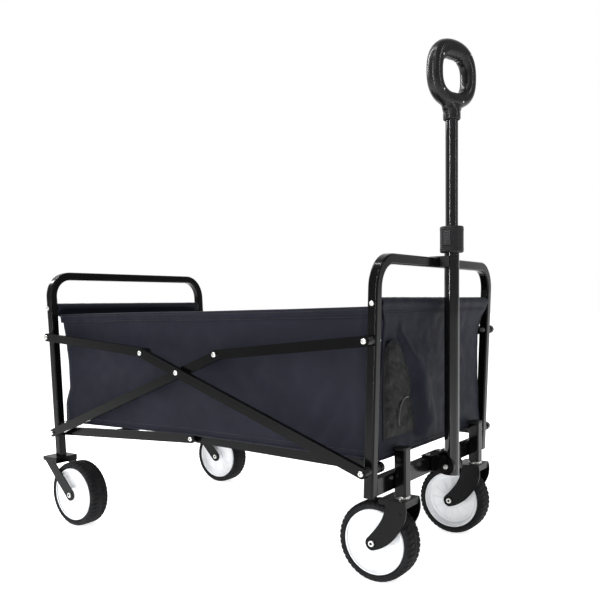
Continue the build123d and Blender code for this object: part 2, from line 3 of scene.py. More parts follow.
import bmesh
import bpy
from mathutils import Matrix, Vector, noise
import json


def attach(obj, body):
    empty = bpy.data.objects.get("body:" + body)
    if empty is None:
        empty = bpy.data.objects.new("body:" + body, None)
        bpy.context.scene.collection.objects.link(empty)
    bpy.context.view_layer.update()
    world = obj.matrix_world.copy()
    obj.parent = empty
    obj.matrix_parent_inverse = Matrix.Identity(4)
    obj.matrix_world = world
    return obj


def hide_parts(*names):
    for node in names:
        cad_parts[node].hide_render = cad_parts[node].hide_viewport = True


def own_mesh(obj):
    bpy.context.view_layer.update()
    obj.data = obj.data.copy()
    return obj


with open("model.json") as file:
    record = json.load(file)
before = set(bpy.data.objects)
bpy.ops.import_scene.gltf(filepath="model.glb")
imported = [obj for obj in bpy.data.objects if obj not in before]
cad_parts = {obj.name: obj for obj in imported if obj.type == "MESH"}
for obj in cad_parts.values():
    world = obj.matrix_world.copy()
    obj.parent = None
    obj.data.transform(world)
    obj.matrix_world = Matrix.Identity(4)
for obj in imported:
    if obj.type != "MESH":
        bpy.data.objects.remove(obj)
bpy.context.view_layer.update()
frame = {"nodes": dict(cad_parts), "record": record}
nodes = frame["nodes"]


# ---- shading helpers --------------------------------------------------------------------
class Shader:
    """A node material built step by step round one Principled BSDF."""

    def __init__(self, name, **sockets):
        self.material = bpy.data.materials.new(name)
        self.material.use_nodes = True
        self.tree = self.material.node_tree
        self.bsdf = self.tree.nodes["Principled BSDF"]
        coords = self.add("ShaderNodeTexCoord")
        self.coords = coords.outputs["Object"]
        for socket, value in sockets.items():
            self.bsdf.inputs[socket.replace("_", " ")].default_value = value

    def add(self, kind, **settings):
        node = self.tree.nodes.new(kind)
        for key, value in settings.items():
            setattr(node, key, value)
        return node

    def link(self, source, target):
        self.tree.links.new(source, target)

    def noise(self, scale, detail=3.0, roughness=0.5, stretch=None):
        texture = self.add("ShaderNodeTexNoise")
        texture.inputs["Scale"].default_value = scale
        texture.inputs["Detail"].default_value = detail
        texture.inputs["Roughness"].default_value = roughness
        source = self.coords
        if stretch:
            mapping = self.add("ShaderNodeMapping")
            mapping.inputs["Scale"].default_value = stretch
            self.link(source, mapping.inputs["Vector"])
            source = mapping.outputs["Vector"]
        self.link(source, texture.inputs["Vector"])
        return texture.outputs["Fac"]

    def wave(self, scale, direction, distortion=0.0, stretch=(1, 1, 1)):
        mapping = self.add("ShaderNodeMapping")
        mapping.inputs["Scale"].default_value = stretch
        self.link(self.coords, mapping.inputs["Vector"])
        texture = self.add("ShaderNodeTexWave", wave_type="BANDS", bands_direction=direction)
        texture.inputs["Scale"].default_value = scale
        texture.inputs["Distortion"].default_value = distortion
        self.link(mapping.outputs["Vector"], texture.inputs["Vector"])
        return texture.outputs["Fac"]

    def ramp(self, source, stops):
        """Colour ramp over (position, colour) stops; a number makes a grey."""
        ramp = self.add("ShaderNodeValToRGB")
        elements = ramp.color_ramp.elements
        while len(elements) < len(stops):
            elements.new(0.5)
        for element, (position, colour) in zip(elements, stops):
            element.position = position
            if isinstance(colour, (int, float)):
                colour = (colour, colour, colour)
            element.color = (*colour[:3], 1.0)
        self.link(source, ramp.inputs["Fac"])
        return ramp.outputs["Color"]

    def math(self, operation, a, b=0.0):
        node = self.add("ShaderNodeMath", operation=operation)
        for socket, value in zip(node.inputs, (a, b)):
            if isinstance(value, (int, float)):
                socket.default_value = value
            else:
                self.link(value, socket)
        return node.outputs["Value"]

    def mix(self, factor, a, b, blend="MIX"):
        node = self.add("ShaderNodeMix", data_type="RGBA", blend_type=blend)
        for socket, value in ((node.inputs[0], factor), (node.inputs[6], a), (node.inputs[7], b)):
            if isinstance(value, (int, float)):
                socket.default_value = value
            elif isinstance(value, tuple):
                socket.default_value = (*value[:3], 1.0)
            else:
                self.link(value, socket)
        return node.outputs[2]

    def base(self, colour):
        self.link(colour, self.bsdf.inputs["Base Color"])
        return self

    def rough(self, value):
        self.link(value, self.bsdf.inputs["Roughness"])
        return self

    def bump(self, height, distance, strength=1.0, below=None):
        node = self.add("ShaderNodeBump")
        node.inputs["Distance"].default_value = distance
        node.inputs["Strength"].default_value = strength
        self.link(height, node.inputs["Height"])
        if below is not None:
            self.link(below, node.inputs["Normal"])
        self.link(node.outputs["Normal"], self.bsdf.inputs["Normal"])
        return node.outputs["Normal"]


def powder_coat(name, tone, tint=(1.0, 1.0, 1.15), roughness=(0.26, 0.40), peel=0.00003,
                gloss=0.13):
    s = Shader(name, Specular_IOR_Level=gloss)
    cloud = s.noise(14.0, 4.0, 0.6)
    dark = tuple(tone * 0.8 * c for c in tint)
    light = tuple(tone * 1.25 * c for c in tint)
    s.base(s.ramp(cloud, ((0.3, dark), (0.7, light))))
    scuff = s.noise(90.0, 5.0, 0.7, stretch=(1.0, 1.0, 0.35))
    s.rough(s.ramp(scuff, ((0.35, roughness[0]), (0.75, roughness[1]))))
    s.bump(s.noise(700.0, 1.0), peel, 0.12)
    return s.material


def zinc(name):
    s = Shader(name, Metallic=1.0)
    patina = s.noise(420.0, 4.0, 0.6)
    s.base(s.ramp(patina, ((0.3, (0.60, 0.60, 0.57)), (0.7, (0.86, 0.86, 0.84)))))
    s.rough(s.ramp(s.noise(700.0, 3.0), ((0.3, 0.22), (0.7, 0.38))))
    s.bump(s.noise(1500.0, 2.0), 0.00002, 0.4)
    return s.material


def moulded(name, tone, tint=(1.0, 1.0, 1.12), roughness=(0.42, 0.56), grain=0.00004):
    s = Shader(name, Specular_IOR_Level=0.30)
    cloud = s.noise(22.0, 3.0)
    dark = tuple(tone * 0.85 * c for c in tint)
    light = tuple(tone * 1.15 * c for c in tint)
    s.base(s.ramp(cloud, ((0.3, dark), (0.7, light))))
    s.rough(s.ramp(s.noise(70.0, 3.0), ((0.3, roughness[0]), (0.7, roughness[1]))))
    s.bump(s.noise(1800.0, 1.0), grain, 0.15)
    return s.material


def white_plastic(name):
    s = Shader(name, Coat_Weight=0.15)
    cloud = s.noise(30.0, 4.0, 0.6)
    s.base(s.ramp(cloud, ((0.25, (0.78, 0.80, 0.83)), (0.7, (0.90, 0.91, 0.92)))))
    s.rough(s.ramp(s.noise(120.0, 4.0), ((0.3, 0.28), (0.7, 0.42))))
    s.bump(s.noise(600.0, 2.0), 0.00003, 0.3)
    return s.material


def tyre_rubber(name):
    s = Shader(name, Specular_IOR_Level=0.12)
    dust = s.noise(55.0, 5.0, 0.65)
    s.base(s.ramp(dust, ((0.35, (0.007, 0.007, 0.008)), (0.75, (0.017, 0.017, 0.018)))))
    s.rough(s.ramp(s.noise(240.0, 4.0), ((0.3, 0.62), (0.7, 0.85))))
    s.bump(s.noise(1600.0, 3.0), 0.00006, 0.6)
    return s.material


def polyester(name, tone=0.0142, tint=(0.90, 0.95, 1.62)):
    """Coated plain weave: fine threads both ways, slight sheen and soft creases."""
    s = Shader(name, Sheen_Weight=0.025, Sheen_Roughness=0.45, Specular_IOR_Level=0.10)
    s.bsdf.inputs["Sheen Tint"].default_value = (0.75, 0.78, 0.9, 1.0)
    warp = s.wave(620.0, "DIAGONAL", 0.6, stretch=(1.0, 1.0, 0.0))
    weft = s.wave(620.0, "Z", 0.6)
    weave = s.math("MULTIPLY", warp, weft)
    cloud = s.noise(9.0, 4.0, 0.55)
    dark = tuple(tone * 0.82 * c for c in tint)
    light = tuple(tone * 1.22 * c for c in tint)
    cloth = s.ramp(cloud, ((0.3, dark), (0.72, light)))
    thread = s.ramp(weave, ((0.0, 0.72), (1.0, 1.0)))
    s.base(s.mix(1.0, cloth, thread, blend="MULTIPLY"))
    s.rough(s.ramp(s.noise(40.0, 4.0), ((0.3, 0.50), (0.7, 0.66))))
    crumple = s.bump(s.noise(26.0, 5.0, 0.6), 0.0016, 0.45)
    s.bump(weave, 0.00012, 0.6, below=crumple)
    return s.material


def webbing(name, tone=0.022):
    s = Shader(name, Sheen_Weight=0.3, Sheen_Roughness=0.5)
    rib = s.wave(420.0, "DIAGONAL", 0.3)
    s.base(s.ramp(rib, ((0.0, tone * 0.7), (1.0, tone * 1.3))))
    s.rough(s.ramp(s.noise(60.0), ((0.3, 0.6), (0.7, 0.75))))
    s.bump(rib, 0.0003, 0.7)
    return s.material


def mesh_cloth(name, tone=0.0050):
    """Open knitted mesh: rows of small holes painted near black as shade, in a slightly shiny cloth
    with painted glints.
    """
    s = Shader(name, Sheen_Weight=0.02, Specular_IOR_Level=0.10)
    cells = s.add("ShaderNodeTexVoronoi")
    cells.inputs["Scale"].default_value = 420.0
    s.link(s.coords, cells.inputs["Vector"])
    holes = cells.outputs["Distance"]
    # The holes are painted near black, far darker than the wall behind them: painted shade. The
    # threads between them are lighter.
    cloth = s.ramp(holes, ((0.18, tone * 0.25), (0.34, tone), (0.7, tone * 2.6)))
    # Sparse patches brighten the cloth up to 2.4 times: painted glints.
    glint_spots = s.ramp(s.noise(60.0, 5.0, 0.7), ((0.50, 0.75), (0.80, 2.4)))
    s.base(s.mix(1.0, cloth, glint_spots, blend="MULTIPLY"))
    s.rough(s.ramp(s.noise(90.0), ((0.3, 0.45), (0.7, 0.62))))
    s.bump(holes, 0.0002, 0.5)
    return s.material


materials = {
    "frame_steel": powder_coat("frame_steel", 0.0022, roughness=(0.12, 0.20), peel=0.000006,
                               gloss=0.16),
    "bar_steel": powder_coat("bar_steel", 0.0016, roughness=(0.14, 0.22), peel=0.000006),
    "pressed_steel": powder_coat("pressed_steel", 0.0022, roughness=(0.26, 0.40)),
    "zinc_hardware": zinc("zinc_hardware"),
    "black_plastic": moulded("black_plastic", 0.007),
    "button_plastic": moulded("button_plastic", 0.018),
    "grip_plastic": moulded("grip_plastic", 0.008, roughness=(0.22, 0.32), grain=0.000008),
    "white_plastic": white_plastic("white_plastic"),
    "tyre_rubber": tyre_rubber("tyre_rubber"),
    "basket_fabric": polyester("basket_fabric"),
    "handle_tube": powder_coat("handle_tube", 0.005, roughness=(0.09, 0.15), peel=0.000004,
                               gloss=0.5),
    "handle_inner_tube": powder_coat("handle_inner_tube", 0.005, roughness=(0.08, 0.14),
                                     peel=0.000004, gloss=0.5),
    "binding": polyester("binding", tone=0.0130),
    "webbing": webbing("webbing", 0.012),
    "elastic": webbing("elastic", 0.045),
    "mesh_cloth": mesh_cloth("mesh_cloth"),
    "thread": moulded("thread", 0.030, roughness=(0.6, 0.75)),
    # Near-black plastic used as painted shade in bolt sockets and screw wells.
    "socket_shade": moulded("socket_shade", 0.006),
}


EDGE_WIDTHS = {"bar_steel": 0.0034, "pressed_steel": 0.0008, "frame_steel": 0.0008}


def finish_nodes():
    """Every carried-over node takes its slot's material, and steel gets rounded edges."""
    for part in frame["record"]["subparts"]:
        node = nodes[part["node"]]
        node.data.materials.clear()
        node.data.materials.append(materials[part["material_slot"]])
        if part["material_slot"] in EDGE_WIDTHS:
            edge = node.modifiers.new("edge", "BEVEL")
            edge.width = EDGE_WIDTHS[part["material_slot"]]
            edge.segments = 4
            edge.limit_method = "ANGLE"
            edge.angle_limit = math.radians(50)
            edge.harden_normals = True


finish_nodes()


# ---- shapes -----------------------------------------------------------------------------
MID = -0.01858               # middle of the wagon between its lower leg pivots
HALF_SPAN = 0.409
REAR_PIVOT_Z = 0.204
FRONT_PIVOT_Z = 0.213
LEAN = math.tan(math.radians(2.0))
FOLD_LINE = MID - 0.006
PANEL_OUT = 0.0035
HEM_Z = {-1: 0.487, 1: 0.486}  # middle of the hem tube, rear and front
SIDE_Y = 0.2308              # side wall, out from the middle
FOOT_Z = 0.2262              # lower edge of the end walls
FLOOR_HALF = 0.2304          # half the floor cloth's width
WHEEL_R = 0.0715
WHEELS = {
    "rear_left": (MID - 0.3441, -0.240),
    "rear_right": (MID - 0.3441, 0.240),
    "front_left": (MID + 0.381, -0.163),
    "front_right": (MID + 0.381, 0.163),
}
HANDLE_X = MID + 0.446


def leg_x(end, z):
    pivot = FRONT_PIVOT_Z if end > 0 else REAR_PIVOT_Z
    return MID + end * (HALF_SPAN + (z - pivot) * LEAN)


def through(knots, t):
    """Smooth value at t through (position, value) knots."""
    knots = sorted(knots)
    if t <= knots[0][0]:
        return knots[0][1]
    for (t0, v0), (t1, v1) in zip(knots, knots[1:]):
        if t <= t1:
            s = (t - t0) / (t1 - t0)
            s = s * s * (3 - 2 * s)
            return v0 + (v1 - v0) * s
    return knots[-1][1]


def soft(x, y, z, scale):
    return noise.noise(Vector((x * scale, y * scale, z * scale)))


def finish_mesh(name, verts, faces, material, thickness=0.0):
    mesh = bpy.data.meshes.new(name)
    mesh.from_pydata(verts, [], faces)
    bm = bmesh.new()
    bm.from_mesh(mesh)
    bmesh.ops.remove_doubles(bm, verts=bm.verts, dist=1e-6)
    bmesh.ops.recalc_face_normals(bm, faces=bm.faces)
    bm.to_mesh(mesh)
    bm.free()
    mesh.materials.append(materials[material])
    for face in mesh.polygons:
        face.use_smooth = True
    obj = bpy.data.objects.new(name, mesh)
    bpy.context.collection.objects.link(obj)
    if thickness:
        solid = obj.modifiers.new("thickness", "SOLIDIFY")
        solid.thickness = thickness
        solid.offset = 0.0
    return obj


def grid(name, columns, rows, place, material, thickness=0.0):
    """A mesh of columns by rows faces; place(u, v) gives a point for u and v in 0..1."""
    verts = [place(i / columns, j / rows) for j in range(rows + 1) for i in range(columns + 1)]
    wide = columns + 1
    faces = []
    for j in range(rows):
        for i in range(columns):
            a = j * wide + i
            faces.append((a, a + 1, a + wide + 1, a + wide))
    return finish_mesh(name, verts, faces, material, thickness)


def tube_along(name, points, radius, material, sides=10):
    """A round cord or bead along points, closed at both ends."""
    verts = []
    faces = []
    up = Vector((0.13, 0.21, 0.97)).normalized()
    for i, p in enumerate(points):
        ahead = (points[min(i + 1, len(points) - 1)] - points[max(i - 1, 0)]).normalized()
        a = ahead.cross(up).normalized()
        b = ahead.cross(a)
        for k in range(sides):
            angle = 2 * math.pi * k / sides
            verts.append(p + a * (radius * math.cos(angle)) + b * (radius * math.sin(angle)))
    for i in range(len(points) - 1):
        for k in range(sides):
            n = (k + 1) % sides
            faces.append((i * sides + k, i * sides + n, (i + 1) * sides + n, (i + 1) * sides + k))
    faces.append(tuple(range(sides)))
    faces.append(tuple((len(points) - 1) * sides + k for k in range(sides)))
    return finish_mesh(name, verts, faces, material)


def lathe(name, profile, centre, material, sides=72, shape=None):
    """Turned about the Y axis through centre; profile is (radius, y) points."""
    rows = len(profile) - 1

    def place(u, v):
        r, y = profile[round(v * rows)]
        angle = 2 * math.pi * u
        if shape:
            r, y = shape(angle, r, y)
        return (centre[0] + r * math.cos(angle), centre[1] + y, centre[2] + r * math.sin(angle))

    return grid(name, sides, rows, place, material)


def merge(name, pieces):
    """Joins small pieces of one material into one object."""
    first = pieces[0]
    with bpy.context.temp_override(active_object=first, selected_editable_objects=pieces):
        bpy.ops.object.join()
    first.name = name
    return first


def stitches(name, points, out, material="thread", pitch=0.0042, length=0.0027, radius=0.00042):
    """A row of thread stitches along points, lifted by out from the cloth."""
    verts = []
    faces = []
    lengths = [0.0]
    for a, b in zip(points, points[1:]):
        lengths.append(lengths[-1] + (b - a).length)
    count = int(lengths[-1] / pitch)
    at = 0
    for n in range(count):
        s = (n + 0.5) * lengths[-1] / count
        while at < len(points) - 2 and lengths[at + 1] < s:
            at += 1
        step = points[at + 1] - points[at]
        along = step.normalized()
        centre = points[at] + along * (s - lengths[at]) + out
        side = along.cross(out).normalized() * radius
        lift = out.normalized() * radius
        base = len(verts)
        for reach, k in ((-0.5, 0.35), (-0.3, 1.0), (0.3, 1.0), (0.5, 0.35)):
            for q, r in ((-1, -1), (1, -1), (1, 1), (-1, 1)):
                verts.append(centre + along * (length * reach) + side * (q * k) + lift * (r * k))
        for ring in range(3):
            for k in range(4):
                a = base + ring * 4 + k
                b = base + ring * 4 + (k + 1) % 4
                faces.append((a, b, b + 4, a + 4))
        faces.append((base, base + 1, base + 2, base + 3))
        faces.append((base + 12, base + 13, base + 14, base + 15))
    return finish_mesh(name, verts, faces, material)


# ---- basket -----------------------------------------------------------------------------
# Height, and half the end wall's width there: it draws in below the hem.
EDGE = (
    (0.226, 0.2240), (0.287, 0.2210), (0.340, 0.2150), (0.390, 0.2090), (0.423, 0.2070),
    (0.452, 0.2110), (0.464, 0.2180), (0.4765, 0.2300), (0.500, 0.2300),
)
# Height, and how far each end wall hangs in from the legs.
REAR_IN = ((0.226, 0.010), (0.264, 0.009), (0.311, 0.0235), (0.350, 0.024), (0.402, 0.018),
           (0.450, 0.012), (0.470, 0.005))
FRONT_IN = ((0.226, 0.002), (0.270, 0.005), (0.340, 0.007), (0.420, 0.006), (0.470, 0.0))


def panel_x(end, z):
    """Where the end wall stands at height z, in the middle of the wagon's width."""
    inward = REAR_IN if end < 0 else FRONT_IN
    return leg_x(end, z) + end * (PANEL_OUT - through(inward, z))


def side_foot(x):
    if x < FOLD_LINE:
        t = (x - (MID - 0.40)) / (FOLD_LINE - MID + 0.40)
        return 0.2258 + (0.2336 - 0.2258) * max(t, 0.0)
    t = (x - FOLD_LINE) / (MID + 0.40 - FOLD_LINE)
    return 0.2336 + (0.2280 - 0.2336) * min(t, 1.0)


def side_top(x):
    return through(((MID - 0.41, 0.469), (MID, 0.4736), (MID + 0.41, 0.480)), x)


LAP = 10                     # stations of a side wall behind an end wall
TURN = 12                    # round a corner
RUN = 110                    # along the side
STATIONS = 2 * LAP + 2 * TURN + RUN


def side_point(side, station, v, out=0.0):
    """Point of a side wall: a lap behind the rear wall, a turn, the long run, and the same."""
    end = -1 if station < STATIONS / 2 else 1
    k = station if end < 0 else STATIONS - station
    guess = MID + 0.40 * (2 * station / STATIONS - 1)
    z = side_foot(guess) + v * (side_top(guess) - side_foot(guess))
    edge = min(through(EDGE, min(z, 0.462)), 0.215)
    deep_y = SIDE_Y - edge
    deep_x = 0.034 if end > 0 else 0.026
    wall = panel_x(end, z) - end * 0.0012
    if k < LAP:
        y = edge - 0.018 * (1 - k / LAP)
        x = wall
        push = Vector((end, 0, 0))
    elif k <= LAP + TURN:
        angle = (k - LAP) / TURN * math.pi / 2
        y = edge + deep_y * math.sin(angle)
        x = wall - end * deep_x * (1 - math.cos(angle))
        push = Vector((end * math.cos(angle), side * math.sin(angle), 0))
    else:
        rear = panel_x(-1, z) + 0.0012 + 0.026
        front = panel_x(1, z) - 0.0012 - 0.034
        t = (station - LAP - TURN) / RUN
        x = rear + t * (front - rear)
        y = SIDE_Y
        push = Vector((0, side, 0))
        inside = min(max(v, 0.0), 1.0)
        fade = abs(math.sin(math.pi * t)) ** 0.5 * abs(math.sin(math.pi * inside)) ** 0.6
        belly = 0.0030 * fade * math.sin(math.pi * t)
        drape = 0.0042 * soft(x + 4 * side, 0.4 * z, 0.35 * x + z, 7.0)
        crease = 0.0022 * soft(x * 0.8 + z, side * 3.0, z - 0.5 * x, 22.0)
        corner = math.exp(-((x - (MID + 0.34)) ** 2) / 0.0022 - ((z - 0.285) ** 2) / 0.0030)
        ripple = 0.0030 * corner * math.sin(115 * (x - 0.7 * z))
        sag = math.exp(-((x - (MID - 0.31)) ** 2) / 0.0040 - ((z - 0.40) ** 2) / 0.0050)
        y = SIDE_Y - 0.0025 * fade + (drape + crease) * fade - belly + ripple - 0.002 * sag
        reach = min((x - (MID - HALF_SPAN)) / 0.05, (MID + HALF_SPAN + 0.01 - x) / 0.09)
        y = min(y, 0.2302 + 0.004 * max(reach - 1.0, 0.0))
    return Vector((x, side * y, z)) + push * out


def side_wall(name, side):
    wall = grid(f"side_wall_{name}", STATIONS, 64,
                lambda u, v: side_point(side, u * STATIONS, v), "basket_fabric", 0.0012)
    first = LAP + 2
    last = STATIONS - LAP - 2

    def rim(u, v):
        """Binding folded over the top edge."""
        station = first + u * (last - first)
        p = side_point(side, station, 1.0)
        outward = side_point(side, station, 1.0, 0.01) - p
        outward.normalize()
        drop = 0.017
        steps = ((-1.1, -drop), (-1.2, -drop * 0.5), (-1.2, -0.001), (-0.8, 0.0012), (0, 0.0019),
                 (0.5, 0.0012), (0.7, -0.001), (0.8, -drop * 0.5), (0.8, -drop))
        off, up = steps[round(v * 8)]
        lower = side_point(side, station, 1.0 + min(up, 0.0) / 0.24)
        wobble = 0.0003 * soft(p.x, side, p.z, 90.0)
        return Vector((p.x, lower.y, p.z + up)) + outward * (off * 0.001 + wobble)

    binding = grid(f"side_rim_{name}", 260, 8, rim, "binding", 0.0006)
    rows = []
    for label, level, lift in (("rim", -0.0145, 0.0012), ("rim_low", -0.0030, 0.0012)):
        line = []
        for i in range(241):
            station = first + 1 + i / 240 * (last - first - 2)
            p = side_point(side, station, 1.0 + level / 0.24)
            line.append(Vector((p.x, p.y, side_point(side, station, 1.0).z + level)))
        rows.append(stitches(f"stitch_{label}_{name}", line, Vector((0, side * lift, 0))))
    hem = []
    for i in range(241):
        station = first + 1 + i / 240 * (last - first - 2)
        hem.append(side_point(side, station, 0.045))
    rows.append(stitches(f"stitch_foot_{name}", hem, Vector((0, side * 0.0009, 0))))
    thread = merge(f"side_stitches_{name}", rows)
    cord = tube_along(f"side_foot_piping_{name}",
                      [side_point(side, first + i / 200 * (last - first), 0.0, 0.0008)
                       for i in range(201)], 0.0019, "binding")
    for piece in (wall, binding, thread, cord):
        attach(piece, "rear_frame")
        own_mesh(piece)
    return wall


def end_sheet(end):
    """End wall with its hem folded over the hem tube."""
    zt = HEM_Z[end]
    centre = leg_x(end, zt)
    r = 0.0094
    bands = 70
    wall_share = 0.74            # of the sheet's rows; the rest go round the hem tube
    hem_drop = 0.012

    def crease(y, z):
        if end < 0:
            ridge = 0.10 - 0.25 * (z - 0.3)
            height = 0.0025
        else:
            ridge = through(((0.236, -0.046), (0.340, -0.072), (0.453, -0.160)), z)
            height = 0.0150
        wide = 0.010 + 0.30 * max(0.455 - z, 0.0)
        t = (y - ridge) / max(wide, 0.004)
        fade = through(((0.230, 0.0), (0.27, 1.0), (0.42, 1.0), (0.462, 0.0)), z)
        if t < 0:
            lift = math.exp(-(t / 0.16) ** 2)
            valley = -0.35 * math.exp(-((t + 0.45) / 0.25) ** 2)
            return height * fade * (lift + valley)
        return height * fade * math.exp(-(t / 0.75) ** 2)

    def place(u, v):
        u = min(max(u, 0.0), 1.0)
        row = v * bands
        flat_rows = bands * wall_share
        if row <= flat_rows:
            z = FOOT_Z + (row / flat_rows) * (zt - hem_drop - FOOT_Z)
            w = through(EDGE, z)
            y = w * (2 * u - 1)
            mid = abs(math.sin(math.pi * u)) ** 0.7
            low = abs(math.sin(math.pi * min(max((z - FOOT_Z) / 0.245, 0), 1))) ** 0.7
            x = panel_x(end, z) + end * 0.0016
            x += end * crease(y, z) * mid
            x += end * 0.0030 * low * mid * soft(y, end * 2.0, z * 0.7, 12.0)
            x += end * 0.0012 * mid * soft(y + z, end * 3.0, z - y, 34.0)
            edge_pull = math.exp(-((abs(2 * u - 1) - 1) / 0.10) ** 2) * 0.0015
            x -= end * edge_pull
            blend = max(0.0, (z - (zt - 0.035)) / 0.023)
            target = centre + end * r * 0.75
            x = x * (1 - blend ** 2) + target * blend ** 2
            return Vector((x, y, z))
        t = (row - flat_rows) / (bands - flat_rows)
        y = 0.2298 * (2 * u - 1)
        ruck = 0.0004 * soft(y, end, t, 60.0)
        if t < 0.8:
            angle = math.radians(-42 + 264 * t / 0.8)
            return Vector((centre + end * (r + ruck) * math.cos(angle), y,
                           zt + (r + ruck) * math.sin(angle)))
        k = (t - 0.8) / 0.2
        angle = math.radians(222)
        x = centre + end * r * math.cos(angle)
        z = zt + r * math.sin(angle)
        inner = panel_x(end, zt - 0.02) - end * 0.0012
        return Vector((x + (inner - x) * k, y, z - 0.012 * k))

    name = "front" if end > 0 else "rear"
    body = f"{name}_frame"
    wall = grid(f"{name}_wall", 110, bands, place, "basket_fabric", 0.0012)
    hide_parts(f"basket_{name}_panel", f"{name}_hem_sleeve")
    rows = []
    for drop in (0.0135, 0.0165):
        level = wall_share * (zt - drop - FOOT_Z) / (zt - hem_drop - FOOT_Z)
        line = [place(i / 200, level) for i in range(3, 198)]
        rows.append(stitches(f"stitch_{name}_{drop}", line, Vector((end * 0.0012, 0, 0))))
    for side in (-1, 1):
        line = []
        for i in range(121):
            v = wall_share * (0.01 + 0.93 * i / 120)
            line.append(place(0.5 + side * 0.488, v))
        rows.append(stitches(f"stitch_{name}_{side}", line, Vector((end * 0.0012, 0, 0))))
    line = [place(i / 200, 0.022) for i in range(3, 198)]
    rows.append(stitches(f"stitch_{name}_foot", line, Vector((end * 0.0012, 0, 0))))
    thread = merge(f"{name}_stitches", rows)
    foot = tube_along(f"{name}_foot_piping", [place(i / 120, 0.0) for i in range(121)],
                      0.0022, "binding")
    pieces = [wall, thread, foot]
    for piece in pieces:
        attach(piece, body)
    return wall, place


def cup_pocket(place):
    """Flattened mesh cup pocket on the front wall, with an elastic top."""
    low_z = 0.256
    high_z = 0.404
    tall = 0.486 - 0.012 - FOOT_Z

    def outline(u, v):
        bow = 0.020 * math.sin(math.pi * u ** 0.6)
        z = low_z + (high_z + bow - low_z) * v
        outer = min(0.203, through(EDGE, z) - 0.006)
        inner = through(((0.236, -0.072), (0.340, -0.098), (0.42, -0.146)), z)
        y = -outer + (outer + inner) * u
        return y, z

    def cloth(u, v, lift=0.0):
        y, z = outline(u, v)
        w = through(EDGE, z)
        p = place((y / w + 1) / 2, 0.74 * (z - FOOT_Z) / tall)
        rise = abs(math.sin(math.pi * u) * math.sin(math.pi * min(v * 0.55 + 0.08, 1))) ** 0.5
        rise *= 0.0052
        wrinkle = 0.0018 * soft(y, 5.0, z, 48.0) + 0.0012 * soft(y + z, 6.0, z, 95.0)
        pinch = min(1.0, 8 * u, 8 * (1 - u), 9 * v)
        return p + Vector((0.0012 + pinch * (rise + wrinkle) + lift, 0, 0))

    pocket = grid("cup_pocket", 60, 70, cloth, "mesh_cloth", 0.0008)
    band = tube_along("cup_pocket_elastic", [cloth(i / 60, 1.0, 0.0004) for i in range(61)],
                      0.0012, "binding")
    seam = [cloth(0, 1 - i / 40) for i in range(41)]
    seam += [cloth(i / 40, 0) for i in range(1, 41)]
    seam += [cloth(1, i / 40) for i in range(1, 41)]
    trim = tube_along("cup_pocket_trim", seam, 0.0008, "binding")
    arc = []
    for i in range(41):
        t = i / 40
        angle = math.radians(200 - 120 * t)
        y = -0.128 + 0.030 * math.cos(angle)
        z = 0.288 + 0.034 * math.sin(angle)
        w = through(EDGE, z)
        p = place((y / w + 1) / 2, 0.74 * (z - FOOT_Z) / tall)
        arc.append(p + Vector((0.0072, 0, 0)))
    loop = tube_along("cup_pocket_loop", arc, 0.0013, "elastic")
    for piece in (pocket, band, trim, loop):
        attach(piece, "front_frame")


def floor_sheet(half):
    """One half of the fabric floor, on its pair of floor bars."""
    rear = half == "rear"
    start = MID - 0.4045 if rear else FOLD_LINE + 0.001
    stop = FOLD_LINE + 0.003 if rear else MID + 0.4110

    def place(u, v):
        x = start + (stop - start) * u
        y = FLOOR_HALF * (2 * v - 1)
        edge = min(1.0, 12 * (1 - abs(2 * v - 1)))
        z = side_foot(x) + (0.0008 if rear else 0.0020)
        z += edge * (0.0012 * soft(x, y, 0.0, 9.0) + 0.0006 * soft(x, y, 3.0, 30.0))
        return Vector((x, y, z))

    name = f"floor_cloth_{half}"
    cloth = grid(name, 60, 70, place, "basket_fabric", 0.0014)
    rows = []
    for offset in (0.012, 0.018):
        for y in (-FLOOR_HALF + offset, FLOOR_HALF - offset):
            v = (y / FLOOR_HALF + 1) / 2
            line = [place(i / 80, v) for i in range(81)]
            rows.append(stitches(f"stitch_{half}_{offset}_{y:.3f}", line, Vector((0, 0, 0.0012))))
    for u in (0.03, 0.97):
        line = [place(u, i / 90) for i in range(4, 87)]
        rows.append(stitches(f"stitch_{half}_{u}", line, Vector((0, 0, 0.0012))))
    thread = merge(f"floor_stitches_{half}", rows)
    bands = []
    for y in (-0.11, 0.11):
        def band(u, v, y=y):
            p = place(u, ((y + 0.019 * (v - 0.5)) / FLOOR_HALF + 1) / 2)
            return p - Vector((0, 0, 0.0016))
        bands.append(grid(f"band_{half}_{y}", 60, 4, band, "webbing", 0.0010))
    webs = merge(f"floor_webbing_{half}", bands)
    for piece in (cloth, thread, webs):
        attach(piece, f"floor_{half}")
    return cloth


def pull_strap():
    """Webbing loop in the middle of the floor that lifts it to fold the wagon."""
    def place(u, v):
        t = 2 * u - 1
        x = FOLD_LINE - 0.012 + 0.012 * t + 0.022 * (v - 0.5)
        y = 0.085 * t
        z = 0.2375 + 0.017 * max(1 - t * t, 0.0) ** 0.7 + 0.0008 * soft(x, y, 1.0, 40.0)
        return Vector((x, y, z))
    strap = grid("floor_strap", 60, 6, place, "webbing", 0.0016)
    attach(strap, "floor_rear")


